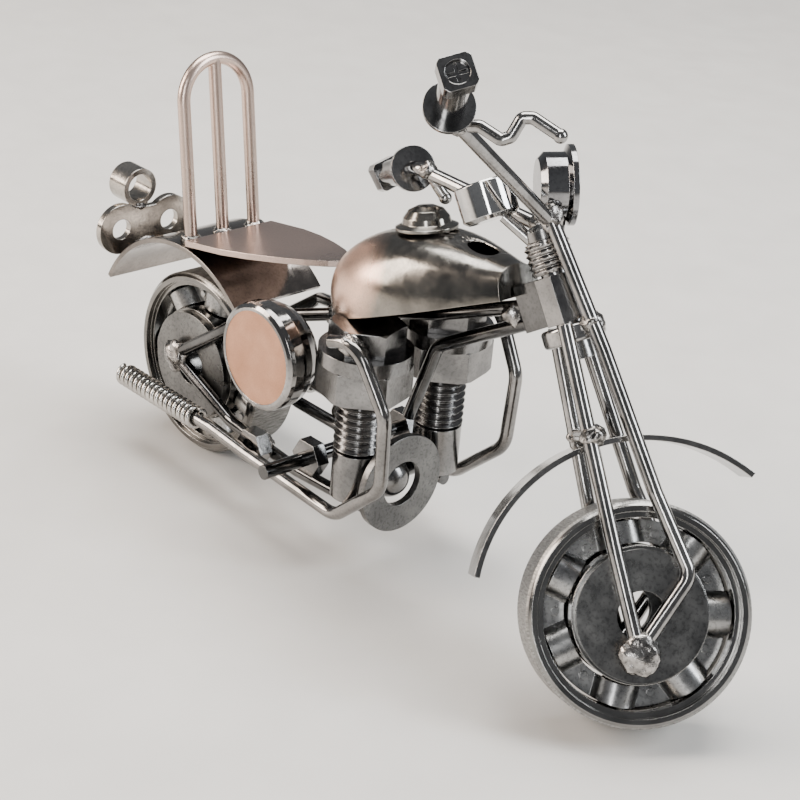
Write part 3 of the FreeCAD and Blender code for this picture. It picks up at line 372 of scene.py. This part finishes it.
# Solder drops, in millimetres in the frame of the body that they ride on: centre, radii.
WELDS = {
    "frame": {
        "hub_right": ((-2.6, -9.3, 21.8), (3.6, 1.6, 3.4)),
        "hub_left": ((-2.6, 9.3, 21.8), (3.6, 1.6, 3.4)),
        "rest_right": ((-0.2, -8.3, 49.0), (2.2, 2.2, 1.4)),
        "rest_middle": ((-0.2, 0.0, 49.2), (2.1, 2.1, 1.3)),
        "rest_left": ((-0.2, 8.3, 49.0), (2.2, 2.2, 1.4)),
        "rail_right": ((29.5, -11.0, 15.0), (3.0, 1.8, 2.6)),
        "rail_left": ((29.5, 11.0, 15.0), (3.0, 1.8, 2.6)),
        "exhaust_right": ((61.4, -18.0, 51.2), (2.6, 2.0, 2.2)),
        "exhaust_left": ((61.4, 18.0, 51.2), (2.6, 2.0, 2.2)),
        "neck_back": ((85.2, 0.0, 62.2), (2.4, 2.6, 2.2)),
        "seat_tube": ((38.4, 0.0, 44.6), (2.6, 3.4, 2.2)),
        "tail": ((-22.9, -4.1, 40.2), (1.4, 4.0, 1.6)),
        "lamp": ((-23.0, -5.8, 48.9), (1.2, 2.4, 1.1)),
    },
    "fork": {
        "axle_right": ((-7.0, -9.7, -5.8), (3.7, 1.5, 3.5)),
        "axle_left": ((-7.0, 9.7, -5.8), (3.7, 1.5, 3.5)),
        "brace_right": ((-3.4, -7.2, 32.4), (2.1, 1.9, 1.9)),
        "brace_left": ((-3.4, 7.2, 32.4), (2.1, 1.9, 1.9)),
        "clamp_right": ((2.5, -5.6, 51.2), (2.1, 2.0, 2.4)),
        "clamp_left": ((2.5, 5.6, 51.2), (2.1, 2.0, 2.4)),
        "riser_right": ((1.4, -4.7, 70.6), (2.3, 2.1, 2.4)),
        "riser_left": ((1.4, 4.7, 70.6), (2.3, 2.1, 2.4)),
        "lever_right": ((-12.2, -22.0, 88.8), (1.7, 1.7, 1.7)),
        "lever_left": ((-13.2, 22.0, 87.0), (1.7, 1.7, 1.7)),
    },
}


def welds(material):
    for body, drops in WELDS.items():
        for seed, (name, (centre, radii)) in enumerate(drops.items()):
            points, faces = lump(centre, radii, 3.7 * seed, PLACES[body])
            add_mesh("weld_" + name, points, faces, material, body)


# -------------------------------------------------------------------- camera and light
CAMERA_PLACE = Vector((0.30985, -0.24875, 0.20394))
CAMERA_YAW, CAMERA_PITCH, CAMERA_ROLL = (math.radians(angle) for angle in (45.41, 25.71, 5.19))
LENS_MM = 90.0


def camera():
    ahead = Vector((-math.sin(CAMERA_YAW) * math.cos(CAMERA_PITCH),
                    math.cos(CAMERA_YAW) * math.cos(CAMERA_PITCH), -math.sin(CAMERA_PITCH)))
    level = ahead.cross(Vector((0, 0, 1))).normalized()
    upward = level.cross(ahead)
    right = level * math.cos(CAMERA_ROLL) + upward * math.sin(CAMERA_ROLL)
    upward = upward * math.cos(CAMERA_ROLL) - level * math.sin(CAMERA_ROLL)
    data = bpy.data.cameras.new("camera")
    data.lens = LENS_MM
    data.clip_start = 0.01
    eye = bpy.data.objects.new("camera", data)
    turn = Matrix((right, upward, -ahead)).transposed().to_4x4()
    eye.matrix_world = Matrix.Translation(CAMERA_PLACE) @ turn
    bpy.context.scene.collection.objects.link(eye)
    bpy.context.scene.camera = eye


def soft_box(name, place, aim, size, power, colour):
    data = bpy.data.lights.new(name, "AREA")
    data.shape = "RECTANGLE"
    data.size, data.size_y = size
    data.energy = power
    data.color = colour
    lamp = bpy.data.objects.new(name, data)
    direction = Vector(aim) - Vector(place)
    lamp.matrix_world = Matrix.Translation(place) @ direction.to_track_quat("-Z", "Y").to_matrix().to_4x4()
    bpy.context.scene.collection.objects.link(lamp)


def lights():
    aim = (0.06, 0.0, 0.05)
    soft_box("overhead", (-0.1, 0.15, 0.8), aim, (0.7, 0.5), 12.0, (1.0, 0.98, 0.95))
    soft_box("left_warm", (-0.4, -0.5, 0.35), aim, (0.3, 0.5), 7.0, (1.0, 0.86, 0.74))
    soft_box("right_rim", (0.6, 0.35, 0.45), aim, (0.25, 0.5), 5.0, (0.92, 0.96, 1.0))
    soft_box("front_strip", (0.5, -0.55, 0.3), aim, (0.08, 0.5), 2.2, (1.0, 1.0, 1.0))
    world = bpy.data.worlds.new("studio")
    world.use_nodes = True
    background = world.node_tree.nodes["Background"]
    background.inputs["Color"].default_value = (0.5, 0.51, 0.53, 1.0)
    background.inputs["Strength"].default_value = 0.4
    bpy.context.scene.world = world


def floor():
    bpy.ops.mesh.primitive_plane_add(size=FLOOR_SIZE, location=(0, 0, -FLOOR_DROP))
    plane = bpy.context.object
    plane.name = "floor"
    look = Finish("floor", metallic=0.0)
    colour = look.ramp(look.noise(0.02, 4.0), (0.3, (0.66, 0.64, 0.61)), (0.7, (0.70, 0.68, 0.65)))
    rough = look.ramp(look.noise(0.01), (0.3, 0.55), (0.7, 0.65))
    plane.data.materials.append(look.finish(colour, rough, look.bump(look.noise(0.002), 0.00002)))


# ------------------------------------------------------------------------------- scene
finishes = paint_nodes()
welds(weld_metal())
floor()
lights()
camera()
